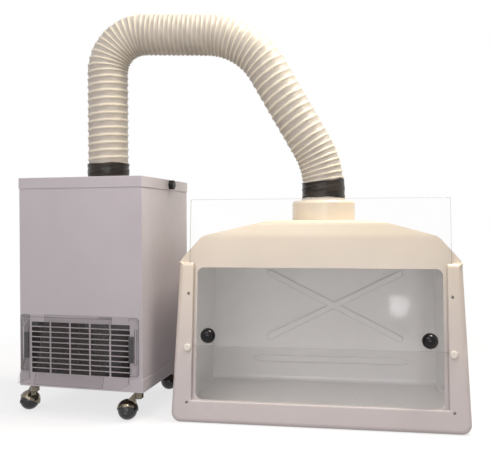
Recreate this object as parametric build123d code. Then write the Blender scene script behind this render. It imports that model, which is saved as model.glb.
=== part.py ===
from build123d import *
import math
import os

os.makedirs("parts", exist_ok=True)

# Ductless fume hood: a moulded hood with a lift sash, a flexible duct and a filter cabinet on casters.
# Millimetres, +X to the right, +Y to the back, +Z up.
# The origin is on the floor, in the middle of the hood's base.

# Hood moulding
hood_width = 737.0
shoulder_width = 709.0
roof_width = 600.0
rear_narrowing = 18.0
hood_depth = 420.0
shoulder_height = 408.0
roof_rise = 62.0
plateau_rise = 40.5
plateau_width = 274.0
plateau_setback = 76.0
plateau_rounding = 1.235 * plateau_rise
roof_bend = 1.73 * plateau_rise
rear_bevel = 34.0
wall = 6.0
floor_thickness = 12.0
front_lean = 5.9
roof_height = shoulder_height + roof_rise
plateau_height = roof_height + plateau_rise

# Ribs pressed into the hood's back wall, seen from the front as x and height
rib_width = 20.0
rib_relief = 7.0
rib_softness = 4.0
cross_reach = (410.0, 205.0)
cross_centre = (38.0, 247.0)
bar_length = 484.0
bar_point = 26.0
bar_centre = (23.0, 79.0)

# Front frame and sash
frame_proud = 14.0
frame_lip = 6.0
frame_outer_radius = 12.0
frame_inner_radius = 4.0
post_gap = 630.0
post_height = 405.0
rail_height = 58.0
opening_width = 614.0
opening_height = 335.0
opening_corner = 16.0
sash_width = 654.0
sash_length = 376.0
sash_thickness = 6.0
sash_slack = 1.5
peg_pitch = 136.5
peg_lowest = 52.5
peg_spread = 652.0
peg_shaft = 8.0
peg_head = 19.0
peg_head_height = 8.0
peg_hole_slack = 0.05
rest_gap = 0.3
knob_spread = 540.0
knob_above_edge = 28.0
knob_diameter = 38.0
knob_neck = 16.0
knob_reach = 5.0
knob_screw = 6.0
washer_diameter = 16.0

# Outlet turret on the roof
outlet_offset = 13.0
outlet_depth = 200.0
turret_diameter = 170.0
turret_height = 52.0
outlet_bore = 104.0
ring_flange = 1.5
ring_flange_height = 7.0
ring_spigot = 24.0
ring_wall = 2.5

# Duct
duct_diameter = 116.0
duct_wall = 1.5
duct_top = 1037.0
duct_top_drop = 15.0
duct_shoulder_x = -193.0
duct_entry_rise = 152.0
duct_bends = (105.0, 200.0, 240.0)
tape_length = 48.0
tape_thickness = 2.0

# Filter cabinet
cabinet_x = -590.0
cabinet_depth_centre = 165.5
cabinet_turn = 5.0
cabinet_width = 346.0
cabinet_depth = 342.0
cabinet_bottom = 78.0
cabinet_top = 624.5
sheet = 1.5
skirt_proud = 2.0
pan_height = 32.0
lid_skirt = 28.0
panel_flange = 16.0
grille_width = 278.0
grille_bottom = 114.0
grille_height = 133.0
grille_columns = 5
grille_rows = 10
grille_post = 4.5
grille_bar = 2.6
thumb_diameter = 26.0
thumb_height = 13.0
thumb_lobes = 6
thumb_shank = 6.0
thumb_setback = 195.0
gasket_thickness = 6.0
gasket_width = 12.0

# Filters and blower inside the cabinet
ledge_above_deck = 50.0
ledge_width = 30.0
filter_width = 318.0
filter_height = 180.0
filter_frame = 12.0
prefilter_height = 22.0
deck_lip = 15.0
scroll_height = 110.0
scroll_start = 98.0
scroll_end = 130.0
scroll_wall = 2.0
scroll_tongue_turn = 100.0
blower_offset = 12.0
blower_setback = 190.0
impeller_diameter = 170.0
impeller_height = 80.0
impeller_blades = 24
impeller_hub = 30.0
impeller_floor = 2.5
impeller_hub_height = 34.0
blade_chord = 15.0
blade_thickness = 1.4
blade_lean = 32.0
shaft_diameter = 8.0
shaft_slack = 0.05
motor_diameter = 96.0
motor_height = 52.0
motor_clearance = 8.5

# Mains inlet and switch on the cabinet's back
inlet_from_left = 60.0
inlet_height = 150.0
inlet_body = (27.0, 20.0)
inlet_flange = (50.0, 26.0)
switch_gap = 48.0
rocker_size = (19.0, 13.0)
rocker_throw = 8.0

# Clear air deflector on the grille
deflector_top = 266.0
deflector_bottom = 98.0
deflector_reach = 55.0
deflector_face = 236.0
deflector_sheet = 2.0
deflector_flange = 26.0
deflector_slide_gap = 0.4
deflector_left_cheek = -146.0
deflector_right_cheek = 138.0
flange_slot = (5.0, 90.0)
magnet_size = (12.0, 66.0, 3.0)

# Casters
caster_inset = (25.0, 33.0)
caster_trail = 30.0
ball_diameter = 50.0
caster_hood_gap = 1.0
caster_hood_wall = 2.0
caster_hood_tilt = 30.0
caster_stem = 11.0
caster_collar = 22.0
caster_axle = 6.0
caster_slack = 0.06
caster_headings = {"front_left": 150.0, "front_right": 193.0, "rear_left": 205.0, "rear_right": 160.0}

upright = (Align.CENTER, Align.CENTER, Align.MIN)
hanging = (Align.CENTER, Align.CENTER, Align.MAX)
pieces = {}


def outline_points(base, shoulder, roof):
    """Corners of the hood seen from the front, from the left foot round to the right foot."""
    heights = (0, shoulder_height, roof_height, plateau_height)
    left = (-base / 2, -shoulder / 2, -roof / 2, outlet_offset - plateau_width / 2)
    right = (base / 2, shoulder / 2, roof / 2, outlet_offset + plateau_width / 2)
    return list(zip(left, heights)) + list(zip(right, heights))[::-1]


def hood_outline(depth, narrowing, inset):
    """The hood's cross-section at a depth, inset by a wall."""
    corners = outline_points(hood_width - narrowing, shoulder_width - narrowing, roof_width - narrowing)
    face = make_face(Polyline(*corners, close=True))
    shoulders = 0.45 * roof_rise
    rounding = (24.0, 22.0, shoulders, plateau_rounding, plateau_rounding, shoulders, 22.0, 24.0)
    for corner, radius in zip(corners, rounding):
        vertex = min(face.vertices(), key=lambda v: math.hypot(v.X - corner[0], v.Y - corner[1]))
        face = fillet(vertex, radius)
    if inset:
        face = offset(face, -inset)
    return Plane((0, depth, 0), x_dir=(1, 0, 0), z_dir=(0, -1, 0)) * face


def hood_prism(inset):
    """The hood's full length, narrowing towards the back."""
    front_face = hood_outline(front_y, 0.0, inset)
    back_face = hood_outline(back_y, 2 * rear_narrowing, inset)
    return loft([front_face, back_face], ruled=True)


def side_prism(corners, rounding):
    """A side profile in Y and Z, as wide as the hood."""
    face = make_face(Polyline(*corners, close=True))
    for corner, radius in zip(corners, rounding):
        if radius:
            vertex = min(face.vertices(), key=lambda v: math.hypot(v.X - corner[0], v.Y - corner[1]))
            face = fillet(vertex, radius)
    return extrude(Plane.YZ * face, hood_width / 2 + 20, both=True)


def body_profile(setback, inset, floor):
    """Side profile of the moulding: leaning face, front roof band, plateau and back."""
    lean = math.tan(math.radians(front_lean))
    start = front_y + (setback + inset) / math.cos(math.radians(front_lean))
    top = plateau_height - inset
    band = roof_height - inset
    rear = back_y - inset
    corners = [
        (start + lean * floor, floor),
        (start + lean * band, band),
        (front_y + plateau_setback + inset, top),
        (rear - rear_bevel, top),
        (rear, top - rear_bevel),
        (rear, floor),
    ]
    return corners


front_y = -hood_depth / 2
back_y = hood_depth / 2
face_plane = Plane(
    (0, front_y, 0),
    x_dir=(1, 0, 0),
    z_dir=(0, -math.cos(math.radians(front_lean)), math.sin(math.radians(front_lean))),
)


def on_face(x, along, out, shape):
    """Places a shape in the leaning front plane: x across, along up the slope, out towards the user."""
    return face_plane * Pos(x, along, out) * shape


def face_box(width, low, high, back, front, x=0.0):
    """A box in the front plane, between two heights up the slope and two depths."""
    block = Box(width, high - low, front - back, align=(Align.CENTER, Align.MIN, Align.MIN))
    return on_face(x, low, back, block)


# Hood shell: one rotationally moulded piece with posts, rail, roof and turret
rounded_back = (0, roof_bend, 18.0, 18.0, 22.0, 18.0)
main_body = hood_prism(0) & side_prism(body_profile(frame_proud, 0.0, 0.0), rounded_back)
frame_top = post_height / math.cos(math.radians(front_lean))
frame_slab = face_box(hood_width + 40, -20, frame_top, -frame_proud - 0.5, 0)
frame_window = face_box(post_gap, rail_height, post_height + 60, -frame_proud, 10)
above_floor = Pos(0, 0, hood_width / 2) * Box(hood_width * 2, hood_width * 2, hood_width)
frame_front = hood_prism(0) & frame_slab & above_floor
hood = main_body + (frame_front - frame_window)


def in_front_plane(edge):
    """Whether an edge lies in the leaning front plane."""
    return all(abs(face_plane.to_local_coords(Vector(*(edge @ share))).Z) < 0.02 for share in (0, 0.5, 1))


def beside_window(edge):
    """Whether an edge borders the recess between the posts."""
    middle = face_plane.to_local_coords(Vector(*(edge @ 0.5)))
    return abs(middle.X) < post_gap / 2 + 0.1 and rail_height - 0.1 < middle.Y < post_height - 5


frame_edges = [edge for edge in hood.edges() if in_front_plane(edge)]
outer_edges = [edge for edge in frame_edges if not beside_window(edge)]
hood = fillet(outer_edges, frame_outer_radius)
inner_edges = [edge for edge in hood.edges() if in_front_plane(edge) and beside_window(edge)]
hood = fillet(inner_edges, frame_inner_radius)

hollow_rounding = (10.0, roof_bend - wall, 12.0, 12.0, 16.0, 14.0)
cavity = hood_prism(wall) & side_prism(body_profile(frame_proud, wall, floor_thickness), hollow_rounding)
turret_centre = (outlet_offset, front_y + outlet_depth)
turret_top = plateau_height + turret_height
turret = Pos(*turret_centre, plateau_height - 12) * Cylinder(
    turret_diameter / 2, turret_height + 12, align=upright
)
turret = fillet(turret.edges().group_by(Axis.Z)[-1], 8.0)
turret_hollow = Pos(*turret_centre, plateau_height - 30) * Cylinder(
    turret_diameter / 2 - wall, turret_height + 30 - wall, align=upright
)
turret_bore = Pos(*turret_centre, turret_top - 20) * Cylinder(outlet_bore / 2, 40)
opening = on_face(
    0,
    rail_height + opening_height / 2,
    -frame_proud - 30,
    extrude(RectangleRounded(opening_width, opening_height, opening_corner), 60),
)
slot_width = (sash_width - post_gap) / 2 + sash_slack
slot_x = (post_gap + slot_width) / 2
slots = [
    face_box(slot_width, rail_height, post_height + 60, -frame_proud, -frame_lip, side * slot_x)
    for side in (-1, 1)
]
peg_heights = [peg_lowest + i * peg_pitch for i in range(3)]
peg_holes = [
    on_face(side * peg_spread / 2, height, -frame_proud, Cylinder(peg_shaft / 2 + peg_hole_slack, 90))
    for side in (-1, 1)
    for height in peg_heights
]

hood = hood + turret
hood = hood - cavity - turret_hollow - turret_bore - opening - slots - peg_holes

# Stiffening ribs pressed into the back wall: a cross and a long bar with pointed ends
cross_length = math.hypot(*cross_reach)
cross_angle = math.degrees(math.atan2(cross_reach[1], cross_reach[0]))
cross_arm = SlotOverall(cross_length, rib_width)
outlines = [Pos(*cross_centre) * Rot(0, 0, turn) * cross_arm for turn in (cross_angle, -cross_angle)]
bar_end = bar_length / 2
bar_side = bar_end - bar_point
tips = [(-bar_end, 0), (-bar_side, rib_width / 2), (bar_side, rib_width / 2)]
tips = tips + [(-x, -y) for x, y in tips]
outlines.append(Pos(*bar_centre) * make_face(Polyline(*tips, close=True)))
back_plane = Plane((0, back_y - wall + 0.5, 0), x_dir=(1, 0, 0), z_dir=(0, -1, 0))
for outline in outlines:
    rib = extrude(back_plane * outline, rib_relief + 0.5)
    hood = hood + fillet(rib.edges().group_by(Axis.Y)[0], rib_softness)
pieces["hood_shell"] = hood

# Sash, resting on the middle pegs, with its two ball knobs
sash_bottom = peg_heights[1] + peg_shaft / 2 + rest_gap
sash_front = -(frame_lip + frame_proud - sash_thickness) / 2
sash_back = sash_front - sash_thickness
knob_height = sash_bottom + knob_above_edge
sash_plate = extrude(RectangleRounded(sash_width, sash_length, 3.0), sash_thickness)
sash = on_face(0, sash_bottom + sash_length / 2, sash_back, sash_plate)
for side in (-1, 1):
    sash = sash - on_face(side * knob_spread / 2, knob_height, sash_back, Cylinder(knob_screw / 2 + 0.2, 40))
pieces["sash"] = sash

ball_radius = knob_diameter / 2
for side, hand in ((-1, "left"), (1, "right")):
    x = side * knob_spread / 2
    centre = sash_front + knob_reach + ball_radius
    ball = Sphere(ball_radius)
    neck = Pos(0, 0, -ball_radius - knob_reach) * Cylinder(
        knob_neck / 2, knob_reach + 6, align=upright
    )
    thread = Pos(0, 0, -ball_radius - knob_reach) * Cylinder(
        knob_screw / 2, 14, align=upright
    )
    pieces[f"sash_knob_{hand}"] = on_face(x, knob_height, centre, ball + neck - thread)
    shank = Cylinder(knob_screw / 2, sash_thickness + 12, align=upright)
    head = Pos(0, 0, -1.0) * Cylinder(washer_diameter / 2, 1.0, align=upright)
    pieces[f"sash_screw_{hand}"] = on_face(x, knob_height, sash_back, shank + head)

    peg_x = side * peg_spread / 2
    shaft = Cylinder(peg_shaft / 2, frame_proud + wall + 2, align=hanging)
    head = Cylinder(peg_head / 2, peg_head_height, align=upright)
    head = fillet(head.edges().group_by(Axis.Z)[-1], 3.5)
    pieces[f"sash_peg_{hand}"] = on_face(peg_x, peg_heights[1], 0, shaft + head)

# Duct ring on the turret
ring_low = turret_top - ring_spigot
ring_high = turret_top + ring_flange_height
ring_neck = 26.0
duct_radius = duct_diameter / 2 - 1.0
duct_inside = duct_radius - duct_wall
flange_radius = duct_diameter / 2 + ring_flange


def tube(radius, inside, low, high):
    """An upright tube between two heights."""
    height = high - low
    outer = Cylinder(radius, height, align=upright)
    inner = Pos(0, 0, -1) * Cylinder(inside, height + 2, align=upright)
    return Pos(0, 0, low) * (outer - inner)


ring_bore = outlet_bore / 2 - ring_wall
ring = tube(outlet_bore / 2 - 0.1, ring_bore, ring_low, turret_top + 0.5)
ring = ring + tube(flange_radius, ring_bore, turret_top, ring_high)
ring = ring + tube(duct_inside, ring_bore, ring_high - 0.5, ring_high + ring_neck)
pieces["outlet_ring"] = Pos(*turret_centre, 0) * ring

# Cabinet frame: its own middle, turned a little away from the hood
cabinet_place = Pos(cabinet_x, front_y + cabinet_depth_centre, 0) * Rot(0, 0, -cabinet_turn)
half_width = cabinet_width / 2
half_depth = cabinet_depth / 2
pan_top = cabinet_bottom + pan_height
lid_bottom = cabinet_top - lid_skirt


def block(x0, x1, y0, y1, z0, z1):
    """A box between opposite corners."""
    return Pos(x0, y0, z0) * Box(x1 - x0, y1 - y0, z1 - z0, align=(Align.MIN, Align.MIN, Align.MIN))


# Base pan and lid, folded from sheet, a little proud of the walls
pan_x = half_width + skirt_proud
pan_y = half_depth + skirt_proud
pan = block(-pan_x, pan_x, -pan_y, pan_y, cabinet_bottom, pan_top)
pan = fillet(pan.edges().filter_by(Axis.Z), 2.5)
pan_inside = block(-half_width, half_width, -half_depth, half_depth, cabinet_bottom + sheet, pan_top + 1)
pan = pan - pan_inside
lid = block(-pan_x, pan_x, -pan_y, pan_y, lid_bottom, cabinet_top)
lid = fillet(lid.edges().filter_by(Axis.Z), 2.5)
lid = fillet(lid.edges().group_by(Axis.Z)[-1], 1.5)
lid = lid - block(-half_width, half_width, -half_depth, half_depth, lid_bottom - 1, cabinet_top - sheet)
collar_bore = duct_inside - ring_wall
lid = lid - Pos(0, 0, cabinet_top) * Cylinder(collar_bore, 20)

# Wrap: back and two sides in one sheet, with flanges folded in at the front
wall_low = cabinet_bottom + sheet
wall_high = cabinet_top - sheet - gasket_thickness
wrap = block(-half_width, half_width, -half_depth + sheet, half_depth, wall_low, wall_high)
wrap = wrap - block(
    -half_width + sheet,
    half_width - sheet,
    -half_depth + 2 * sheet,
    half_depth - sheet,
    wall_low - 1,
    wall_high + 1,
)
window_half = half_width - panel_flange
flange_depth = -half_depth + 4 * sheet
wrap = wrap - block(-window_half, window_half, -half_depth, flange_depth, wall_low - 1, wall_high + 1)

# Front panel with the grille punched in it
panel = block(-half_width, half_width, -half_depth, -half_depth + sheet, wall_low, wall_high)
column_pitch = (grille_width + grille_post) / grille_columns
row_pitch = (grille_height + grille_bar) / grille_rows
hole = Box(column_pitch - grille_post, sheet * 4, row_pitch - grille_bar)
columns_x = [(i - (grille_columns - 1) / 2) * column_pitch for i in range(grille_columns)]
rows_z = [grille_bottom + (j + 0.5) * row_pitch - grille_bar / 2 for j in range(grille_rows)]
holes = [Pos(x, -half_depth, z) * hole for x in columns_x for z in rows_z]
panel = panel - holes

# Lid gasket, start collar and thumb knobs
gasket = block(-half_width, half_width, -half_depth, half_depth, wall_high, cabinet_top - sheet)
gasket_in_x = half_width - gasket_width
gasket_in_y = half_depth - gasket_width
gasket = gasket - block(-gasket_in_x, gasket_in_x, -gasket_in_y, gasket_in_y, wall_high - 1, cabinet_top)
collar_high = cabinet_top + tape_length - 8
start_collar = tube(duct_inside, collar_bore, cabinet_top, collar_high)
start_collar = start_collar + tube(collar_bore, collar_bore - ring_wall, cabinet_top - 18, cabinet_top + 1)
thumb_z = cabinet_top - lid_skirt / 2
thumb_y = -half_depth + thumb_setback
thumb_axis = Pos(0, thumb_y, thumb_z) * Rot(0, 90, 0)
shank_reach = 14.0
weld_nut = 6.0
groove = 3.2
groove_x = thumb_diameter / 2 + 1.2
knob = Cylinder(thumb_diameter / 2, thumb_height)
knob = fillet(knob.edges().group_by(Axis.Z)[-1], 2.5)
knob = knob - [
    Rot(0, 0, i * 360 / thumb_lobes) * Pos(groove_x, 0, 0) * Cylinder(groove, thumb_height + 2)
    for i in range(thumb_lobes)
]
knob = Pos(0, 0, thumb_height / 2 + 0.3) * knob
knob = knob + Pos(0, 0, 1.0) * Cylinder(thumb_shank / 2, shank_reach, align=hanging)
nut = Cylinder(6.5, weld_nut) - Cylinder(thumb_shank / 2 + shaft_slack, weld_nut + 2)
drill = Pos(0, thumb_y, thumb_z) * Rot(0, 90, 0) * Cylinder(thumb_shank / 2 + 0.3, 4 * half_width)
lid = lid - drill
wrap = wrap - drill

# Heights of the blower, its deck and the filter ledge, one on the other
scroll_low = cabinet_bottom + sheet + motor_clearance + motor_height
deck_height = scroll_low + scroll_height
ledge_height = deck_height + ledge_above_deck

# Filter ledge, filters and blower deck
inner_x = half_width - sheet
inner_y = half_depth - 2 * sheet
ledge = block(-inner_x, inner_x, -inner_y, inner_y + sheet, ledge_height - ledge_width / 2, ledge_height)
angle_in_x = inner_x - sheet
angle_in_y = inner_y - sheet
ledge = ledge - block(
    -angle_in_x, angle_in_x, -angle_in_y, inner_y, ledge_height - ledge_width, ledge_height - sheet
)
ledge_x = inner_x - ledge_width
ledge_y = inner_y - ledge_width
ledge = ledge - block(-ledge_x, ledge_x, -ledge_y, ledge_y, ledge_height - 40, ledge_height + 1)
half_filter = filter_width / 2
filter_top = ledge_height + filter_height
case = block(-half_filter, half_filter, -half_filter, half_filter, ledge_height, filter_top)
half_media = half_filter - filter_frame
case = case - block(-half_media, half_media, -half_media, half_media, ledge_height - 1, filter_top + 1)
media = block(-half_media, half_media, -half_media, half_media, ledge_height + 4, filter_top - 4)
prefilter_top = filter_top + prefilter_height
prefilter = block(-half_filter, half_filter, -half_filter, half_filter, filter_top, prefilter_top)
prefilter = fillet(prefilter.edges().filter_by(Axis.Z), 6.0)

deck = block(-inner_x, inner_x, -inner_y, inner_y + sheet, deck_height - deck_lip, deck_height + sheet)
deck = deck - block(-angle_in_x, angle_in_x, -angle_in_y, inner_y, deck_height - deck_lip - 1, deck_height)
blower_x = blower_offset
blower_y = -half_depth + blower_setback
inlet_radius = impeller_diameter / 2 - 12
deck = deck - Pos(blower_x, blower_y, deck_height) * Cylinder(inlet_radius, 20)
outlet_low = -scroll_end - 4 + blower_x
deck = deck - block(outlet_low, blower_x, -half_depth, -half_depth + 12, deck_height - 40, deck_height)


def scroll_point(turn, extra):
    """A point of the volute, whose radius grows with the turn."""
    sweep_start = -scroll_tongue_turn
    share = (turn - sweep_start) / (180 - sweep_start)
    radius = scroll_start + (scroll_end - scroll_start) * share + extra
    return (radius * math.cos(math.radians(turn)), radius * math.sin(math.radians(turn)))


def scroll_face(extra, mouth):
    """The volute's outline, with its straight mouth towards the front."""
    turns = [-scroll_tongue_turn + i * 35 for i in range(9)]
    points = [scroll_point(turn, extra) for turn in turns]
    arcs = [ThreePointArc(*points[i : i + 3]) for i in range(0, 8, 2)]
    start = points[0]
    end = points[-1]
    walls = Polyline(end, (end[0], -mouth), (start[0] + extra, -mouth), start)
    return make_face([*arcs, walls])


mouth = blower_setback - 3 * sheet
scroll = extrude(scroll_face(0.0, mouth), scroll_height)
scroll_hollow = extrude(scroll_face(-scroll_wall, mouth + 5), scroll_height - 2 * scroll_wall)
scroll = scroll - Pos(0, 0, scroll_wall) * scroll_hollow
scroll = scroll - Pos(0, 0, scroll_height) * Cylinder(inlet_radius, 10)
scroll = scroll - Cylinder(motor_diameter / 2 - 10, 10)
scroll = Pos(blower_x, blower_y, scroll_low) * scroll

impeller_low = scroll_low + scroll_wall + 8
impeller_radius = impeller_diameter / 2
blade_middle = impeller_radius - blade_chord / 2 - 0.5
blade = Box(blade_chord, blade_thickness, impeller_height - impeller_floor, align=upright)
blade = Pos(0, 0, impeller_floor) * Rot(0, 0, blade_lean) * blade
blades = [
    Rot(0, 0, i * 360 / impeller_blades) * Pos(blade_middle, 0, 0) * blade for i in range(impeller_blades)
]
rim_low = impeller_height - 4
impeller = tube(impeller_radius, impeller_radius - blade_chord, rim_low, impeller_height) + blades
impeller = Pos(blower_x, blower_y, impeller_low) * impeller
impeller_disc = Cylinder(impeller_radius, impeller_floor, align=upright)
impeller_disc = impeller_disc + Cylinder(impeller_hub / 2, impeller_hub_height, align=upright)
impeller_disc = impeller_disc - Cylinder(shaft_diameter / 2, 200)
impeller_disc = Pos(blower_x, blower_y, impeller_low) * impeller_disc
motor = tube(motor_diameter / 2, shaft_diameter / 2 + shaft_slack, scroll_low - motor_height, scroll_low)
motor = fillet(motor.edges().group_by(Axis.Z)[0].sort_by(SortBy.LENGTH)[-1], 6.0)
motor = Pos(blower_x, blower_y, 0) * motor
shaft = Pos(blower_x, blower_y, scroll_low - motor_height + 8) * Cylinder(
    shaft_diameter / 2, motor_height + scroll_wall + 30, align=upright
)

# Mains inlet and rocker switch, through the back of the wrap
inlet_x = -half_width + inlet_from_left
switch_x = inlet_x + switch_gap
back_face = Plane((0, half_depth, 0), x_dir=(-1, 0, 0), z_dir=(0, 1, 0))


def on_back(x, z, out, shape):
    """Places a shape on the outside of the cabinet's back."""
    return back_face * Pos(-x, z, out) * shape


wrap = wrap - on_back(inlet_x, inlet_height, -5, Box(*inlet_body, 20))
wrap = wrap - on_back(switch_x, inlet_height, -5, Box(*rocker_size, 20))
inlet = on_back(inlet_x, inlet_height, 0, extrude(RectangleRounded(*inlet_flange, 6), 3))
inlet = inlet + on_back(inlet_x, inlet_height, -22, extrude(Rectangle(*inlet_body), 22))
socket = extrude(RectangleRounded(inlet_body[0] - 4, inlet_body[1] - 4, 2), 30)
inlet = inlet - on_back(inlet_x, inlet_height, -16, socket)
for prong in (-7.0, 0.0, 7.0):
    pin_z = inlet_height + (2.0 if prong else -2.0)
    inlet = inlet + on_back(inlet_x + prong, pin_z, -18, extrude(Rectangle(2, 4), 15))
bezel_size = (rocker_size[0] + 4, rocker_size[1] + 4)
bezel = on_back(switch_x, inlet_height, 0, extrude(RectangleRounded(*bezel_size, 1.5), 2))
bezel = bezel + on_back(switch_x, inlet_height, -16, extrude(Rectangle(*rocker_size), 16))
rocker_hole = (rocker_size[0] - 3, rocker_size[1] - 3)
bezel = bezel - on_back(switch_x, inlet_height, -11, extrude(Rectangle(*rocker_hole), 30))
rocker_pin = 2.0
pin_hole = Rot(90, 0, 0) * Cylinder(rocker_pin / 2 + shaft_slack, rocker_size[1] - 1)
bezel = bezel - on_back(switch_x, inlet_height, -3, pin_hole)
rocker_profile = Polyline((-7, 1.8), (-7, 5.6), (0, 4.4), (7, 5.6), (7, 1.8), (0, -3.0), close=True)
rocker = Rot(90, 0, 0) * extrude(make_face(rocker_profile), rocker_hole[1] / 2 - 0.3, both=True)
rocker = rocker + Rot(90, 0, 0) * Cylinder(rocker_pin / 2, rocker_size[1] - 1.4)
rocker = Pos(0, 0, -3) * Rot(0, -rocker_throw, 0) * rocker
rocker = on_back(switch_x, inlet_height, 0, rocker)

# Clear deflector: two overlapping bent sheets, the right one sliding outside the left one
panel_front = -half_depth
slope = math.atan2(deflector_reach, deflector_top - deflector_bottom)


def deflector_profile(outset):
    """Side view of the sloping face, hanging from the panel and standing out at the bottom."""
    top = (panel_front - outset, deflector_top + outset)
    foot = (panel_front - deflector_reach - outset, deflector_bottom)
    depth = deflector_sheet / math.cos(slope)
    return [top, foot, (foot[0] + depth, foot[1]), (panel_front - outset, top[1] - depth / math.tan(slope))]


def deflector_half(side, cheek, outset):
    """One half: the sloping face, a triangular cheek and a flat flange on the panel."""
    free = cheek - side * deflector_face
    face = make_face(Polyline(*deflector_profile(outset), close=True))
    face = extrude(Plane.YZ * face, abs(cheek - free))
    face = Pos(min(cheek, free), 0, 0) * face
    corners = deflector_profile(outset)
    clear_y = panel_front - skirt_proud - 1.0
    clear_z = pan_top + 2.0
    heel = [(clear_y, deflector_bottom), (clear_y, clear_z), (panel_front - outset, clear_z)]
    triangle = make_face(Polyline(corners[0], corners[1], *heel, close=True))
    low = min(cheek, cheek - side * deflector_sheet)
    side_wall = Pos(low, 0, 0) * extrude(Plane.YZ * triangle, deflector_sheet)
    tab_width = deflector_flange + deflector_sheet
    tab_height = deflector_top - deflector_bottom - 20
    tab = RectangleRounded(tab_width, tab_height, 8)
    tab_plane = Plane((0, panel_front, 0), x_dir=(1, 0, 0), z_dir=(0, -1, 0))
    tab_x = cheek + side * (deflector_flange - deflector_sheet) / 2
    tab_z = deflector_bottom + 20 + tab_height / 2
    flange = extrude(tab_plane * Pos(tab_x, tab_z) * tab, deflector_sheet + outset)
    cut = SlotOverall(flange_slot[1], flange_slot[0], rotation=90)
    cut_x = cheek + side * (deflector_flange * 0.68)
    flange = flange - extrude(tab_plane * Pos(cut_x, tab_z) * cut, 20, both=True)
    return face + side_wall + flange


deflector_left = deflector_half(-1, deflector_left_cheek, 0.0)
deflector_right = deflector_half(1, deflector_right_cheek, deflector_sheet + deflector_slide_gap)
magnets = {}
for side, hand, cheek in ((-1, "left", deflector_left_cheek), (1, "right", deflector_right_cheek)):
    outset = deflector_sheet if side < 0 else 2 * deflector_sheet + deflector_slide_gap
    x = cheek + side * (magnet_size[0] / 2 + 0.5)
    z = (deflector_top + deflector_bottom) / 2 + 4
    front = panel_front - outset
    bar = Box(magnet_size[0], magnet_size[2], magnet_size[1])
    magnets[hand] = Pos(x, front - magnet_size[2] / 2, z) * bar

cabinet = {
    "cabinet_pan": pan,
    "cabinet_wrap": wrap,
    "front_panel": panel,
    "cabinet_lid": lid,
    "lid_gasket": gasket,
    "start_collar": start_collar,
    "filter_ledge": ledge,
    "filter_case": case,
    "filter_media": media,
    "prefilter": prefilter,
    "blower_deck": deck,
    "blower_scroll": scroll,
    "impeller": impeller,
    "impeller_disc": impeller_disc,
    "blower_motor": motor,
    "motor_shaft": shaft,
    "power_inlet": inlet,
    "switch_bezel": bezel,
    "switch_rocker": rocker,
    "deflector_left": deflector_left,
    "deflector_right": deflector_right,
    "magnet_left": magnets["left"],
    "magnet_right": magnets["right"],
}
for side, hand in ((-1, "left"), (1, "right")):
    turn = Pos(0, thumb_y, thumb_z) * Rot(0, side * 90, 0)
    cabinet[f"thumb_knob_{hand}"] = turn * Pos(0, 0, pan_x) * knob
    cabinet[f"weld_nut_{hand}"] = turn * Pos(0, 0, inner_x - weld_nut / 2) * nut

# Casters: a fixed stem, a swivelling hood with its axle, and a ball
ball_r = ball_diameter / 2
hood_in = ball_r + caster_hood_gap
hood_out = hood_in + caster_hood_wall
stem_r = caster_stem / 2
boss_low = ball_r + 32.0
boss_high = cabinet_bottom - 4.0 - 0.3


def caster(heading):
    """The four pieces of a caster with its stem on the Z axis and its ball trailing along a heading."""
    stem = Pos(0, 0, boss_low - 3) * Cylinder(stem_r, cabinet_bottom + 26 - boss_low + 3, align=upright)
    stem = stem + Pos(0, 0, cabinet_bottom - 4) * Cylinder(caster_collar / 2, 4, align=upright)
    stem = stem + Pos(0, 0, boss_low - 3) * Cylinder(stem_r + 2, 2.7, align=upright)
    centre = Pos(caster_trail, 0, ball_r)
    shell = Sphere(hood_out)
    tilt = Rot(caster_hood_tilt, 0, 0)
    shell = shell & (tilt * Pos(0, 0, hood_out) * Box(4 * hood_out, 4 * hood_out, 2 * hood_out))
    lug = Rot(90, 0, 0) * Cylinder(caster_axle / 2 + 2.5, hood_out + 0.5, align=upright)
    shell = shell + (lug & Sphere(hood_out + 0.5))
    boss_base = boss_low - ball_r
    boss_bar = Cylinder(stem_r + 6, boss_high - boss_low, align=upright)
    boss = Pos(-caster_trail, 0, boss_base) * boss_bar
    side_view = [
        (-caster_trail - 6, boss_base + 1),
        (-caster_trail - 6, boss_base + 14),
        (-caster_trail + 10, boss_base + 14),
        (-2, hood_out - 0.8),
        (-22, 17),
        (-caster_trail + 8, boss_base - 2),
    ]
    neck = extrude(Plane.XZ * make_face(Polyline(*side_view, close=True)), 7, both=True)
    fork = shell + boss + neck - Sphere(hood_in)
    fork = fork - Rot(90, 0, 0) * Cylinder(caster_axle / 2, 4 * hood_out)
    fork = centre * fork - Pos(0, 0, boss_low - 4) * Cylinder(stem_r + caster_slack, 60, align=upright)
    fork = fork - Pos(0, 0, boss_low) * Cylinder(stem_r + 2.3, 4, align=hanging)
    axle = Pos(0, 0, -ball_r - 1.5) * Cylinder(caster_axle / 2, ball_r + hood_out + 2, align=upright)
    axle = axle + Pos(0, 0, -ball_r - 0.2) * Cylinder(caster_axle / 2 + 1.6, 1.8, align=hanging)
    axle = centre * Rot(90, 0, 0) * axle
    ball = Sphere(ball_r) - Rot(90, 0, 0) * Cylinder(caster_axle / 2 + caster_slack, 4 * ball_r)
    turn = Rot(0, 0, heading)
    return {"stem": stem, "hood": turn * fork, "axle": turn * axle, "ball": turn * centre * ball}


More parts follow.
